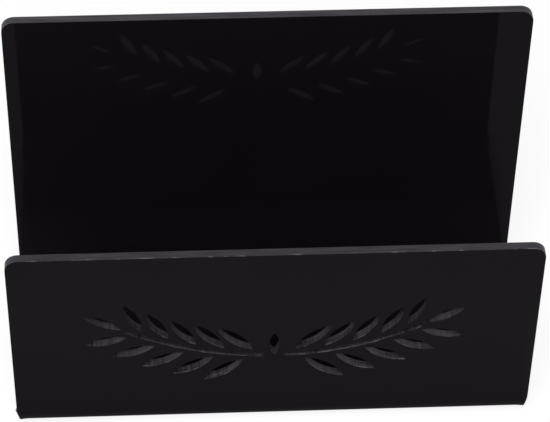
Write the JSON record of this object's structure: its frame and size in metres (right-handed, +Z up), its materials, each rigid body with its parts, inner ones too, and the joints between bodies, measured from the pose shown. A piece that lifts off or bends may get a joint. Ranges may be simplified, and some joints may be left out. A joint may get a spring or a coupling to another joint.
{
  "type": "document holder",
  "caption": "Bent-sheet desk letter holder in gloss black acrylic: low front panel with a cut-out leaf spray, flat base, tall back panel, open ends and small rubber feet.",
  "frame": {"origin": "on the table, under the middle of the holder", "axes": "+Z up, -Y towards the low front panel, +X to the right as seen from the front"},
  "size_m": [0.1796, 0.0712, 0.1302],
  "materials": {
    "acrylic": "polished gloss black acrylic sheet, with satin laser-cut edges",
    "foot_rubber": "matte black rubber"
  },
  "bodies": {
    "root": {"holder_sheet": "acrylic", "foot_front_left": "foot_rubber", "foot_front_right": "foot_rubber", "foot_rear_left": "foot_rubber", "foot_rear_right": "foot_rubber"}
  },
  "joints": []
}
